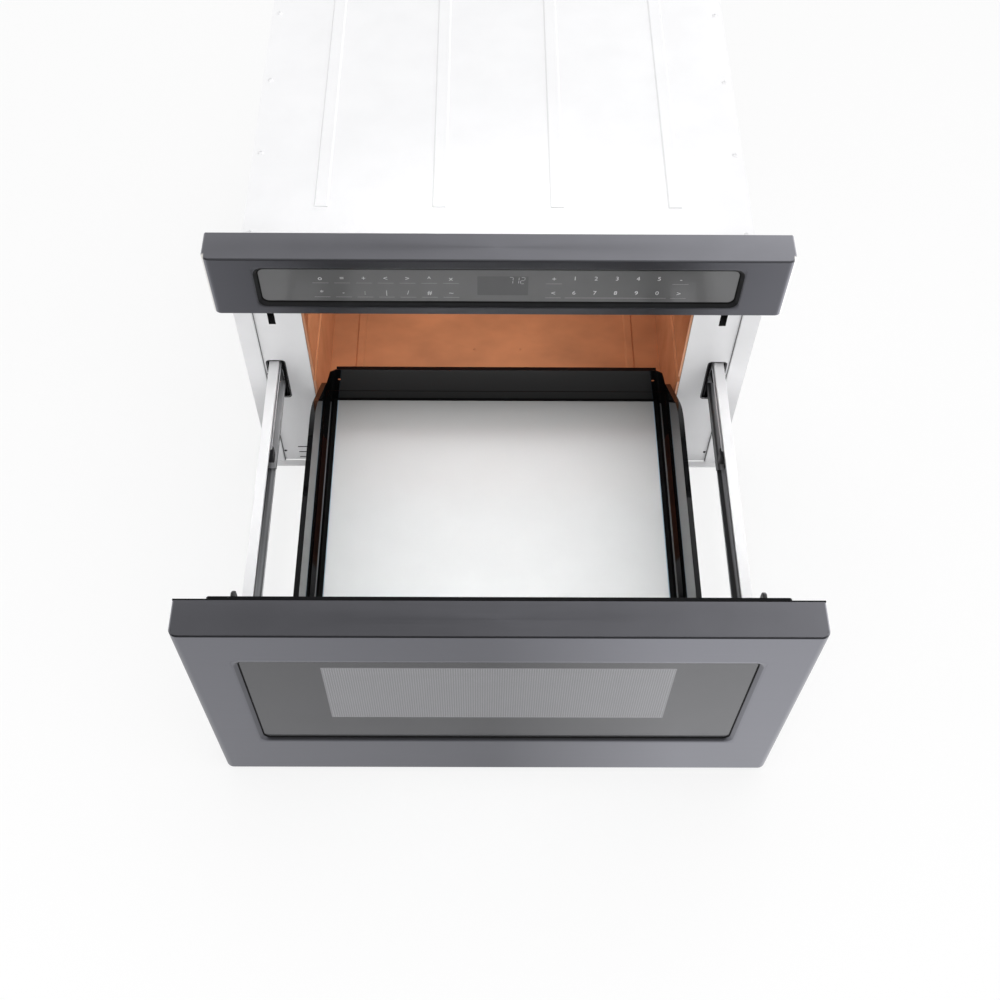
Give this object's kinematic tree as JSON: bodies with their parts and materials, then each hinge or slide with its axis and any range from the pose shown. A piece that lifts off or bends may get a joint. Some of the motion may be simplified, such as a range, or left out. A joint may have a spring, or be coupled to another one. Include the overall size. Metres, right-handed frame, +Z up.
{
  "type": "built-in microwave drawer",
  "caption": "Built-in microwave oven drawer, dark steel front, control panel above, drawer run out on side slides.",
  "frame": {"origin": "centre of the base pan's underside, midway along the body that goes into the cabinet", "axes": "+Y runs from the drawer's front to the rear wall, +X to the viewer's right, +Z up"},
  "size_m": [0.615, 0.9875, 0.409],
  "materials": {
    "white_steel": "white painted steel, satin",
    "galvanised": "galvanised sheet, matt",
    "front_steel": "dark brushed stainless steel, satin",
    "bevel_black": "black, gloss",
    "dark_glass": "dark toughened glass, gloss",
    "black_plastic": "black moulding, matt",
    "liner_black": "black painted steel, satin",
    "copper_enamel": "copper coloured enamel, satin",
    "tray_enamel": "dark grey enamel, satin",
    "oven_glass": "clear glass ceramic, gloss",
    "gasket": "black seal",
    "zinc_steel": "zinc plated steel, satin",
    "ball_steel": "bearing steel, polished",
    "hook_black": "black moulding, matt",
    "lens_clear": "pale moulding, satin",
    "mica": "mica sheet, satin",
    "core_steel": "varnished laminations, matt",
    "winding": "enamelled copper wire, satin",
    "aluminium": "plain, satin",
    "board_green": "circuit board, satin",
    "gear_plastic": "acetal, satin"
  },
  "bodies": {
    "chassis": {"back_panel": "white_steel", "base_pan": "white_steel", "bezel_bevel": "bevel_black", "capacitor": "aluminium", "control_bezel": "front_steel", "control_glass": "dark_glass", "control_housing": "black_plastic", "cord_gland": "black_plastic", "drive_motor": "zinc_steel", "fan_motor": "zinc_steel", "fan_shroud": "black_plastic", "front_plate": "white_steel", "gearbox": "black_plastic", "latch_switches": "black_plastic", "magnetron": "aluminium", "mounting_flange": "white_steel", "oven_cavity": "copper_enamel", "oven_lamp": "lens_clear", "power_board": "board_green", "rack_guide": "black_plastic", "side_panels": "white_steel", "slide_brackets": "galvanised", "slide_inner": "zinc_steel", "stirrer_cover": "mica", "stirrer_motor": "zinc_steel", "top_cover": "white_steel", "transformer_core": "core_steel", "transformer_windings": "winding", "waveguide": "galvanised"},
    "drawer": {"arm_left": "white_steel", "arm_right": "white_steel", "door_liner": "liner_black", "drawer_bevel": "bevel_black", "drawer_glass": "dark_glass", "drawer_skin": "front_steel", "glass_gasket": "gasket", "inner_door": "liner_black", "inner_window": "dark_glass", "latch_hooks": "hook_black", "rack": "gear_plastic", "slide_outer_left": "zinc_steel", "slide_outer_right": "zinc_steel", "tray_back": "tray_enamel", "tray_glass": "oven_glass", "tray_pan": "tray_enamel", "tray_sides": "tray_enamel", "window_screen": "liner_black"},
    "middle_left": {"slide_middle_left": "zinc_steel"},
    "outer_cage_left": {"cage_outer_left": "zinc_steel", "balls_outer_left": "ball_steel"},
    "inner_cage_left": {"cage_inner_left": "zinc_steel"},
    "middle_right": {"slide_middle_right": "zinc_steel"},
    "outer_cage_right": {"cage_outer_right": "zinc_steel", "balls_outer_right": "ball_steel"},
    "inner_cage_right": {"cage_inner_right": "zinc_steel"},
    "gear": {"drive_gear": "gear_plastic"},
    "small_gear": {"motor_gear": "gear_plastic"},
    "fan": {"fan_rotor": "black_plastic"},
    "stirrer": {"stirrer": "aluminium"}
  },
  "joints": [
    {"name": "drawer_slide", "type": "slide", "parent": "chassis", "child": "drawer", "axis": [0, 1, 0], "range_m": [0, 0.392]},
    {"name": "middle_slide_left", "type": "slide", "parent": "chassis", "child": "middle_left", "axis": [0, 1, 0], "range_m": [0, 0.196]},
    {"name": "outer_cage_slide_left", "type": "slide", "parent": "chassis", "child": "outer_cage_left", "axis": [0, 1, 0], "range_m": [0, 0.294]},
    {"name": "inner_cage_slide_left", "type": "slide", "parent": "chassis", "child": "inner_cage_left", "axis": [0, 1, 0], "range_m": [0, 0.098]},
    {"name": "middle_slide_right", "type": "slide", "parent": "chassis", "child": "middle_right", "axis": [0, 1, 0], "range_m": [0, 0.196]},
    {"name": "outer_cage_slide_right", "type": "slide", "parent": "chassis", "child": "outer_cage_right", "axis": [0, 1, 0], "range_m": [0, 0.294]},
    {"name": "inner_cage_slide_right", "type": "slide", "parent": "chassis", "child": "inner_cage_right", "axis": [0, 1, 0], "range_m": [0, 0.098]},
    {"name": "gear_turn", "type": "hinge", "parent": "chassis", "child": "gear", "pos_m": [0.026, -0.237, 0.024], "axis": [0, 0, -1], "range_deg": [0, 1248.3]},
    {"name": "small_gear_turn", "type": "hinge", "parent": "chassis", "child": "small_gear", "pos_m": [0.062, -0.237, 0.024], "axis": [0, 0, 1], "range_deg": [0, 2496.5]},
    {"name": "fan_turn", "type": "hinge", "parent": "chassis", "child": "fan", "pos_m": [-0.15, 0.25, 0.205], "axis": [0, 1, 0], "continuous": true},
    {"name": "stirrer_turn", "type": "hinge", "parent": "chassis", "child": "stirrer", "pos_m": [0, 0, 0.3], "axis": [0, 0, 1], "continuous": true}
  ],
  "couplings": [
    {"joint": "middle_slide_left", "follows": "drawer_slide", "ratio": 0.5},
    {"joint": "outer_cage_slide_left", "follows": "drawer_slide", "ratio": 0.75},
    {"joint": "inner_cage_slide_left", "follows": "drawer_slide", "ratio": 0.25},
    {"joint": "middle_slide_right", "follows": "drawer_slide", "ratio": 0.5},
    {"joint": "outer_cage_slide_right", "follows": "drawer_slide", "ratio": 0.75},
    {"joint": "inner_cage_slide_right", "follows": "drawer_slide", "ratio": 0.25},
    {"joint": "gear_turn", "follows": "drawer_slide", "rad_per_m": 55.556},
    {"joint": "small_gear_turn", "follows": "drawer_slide", "rad_per_m": 111.11}
  ]
}
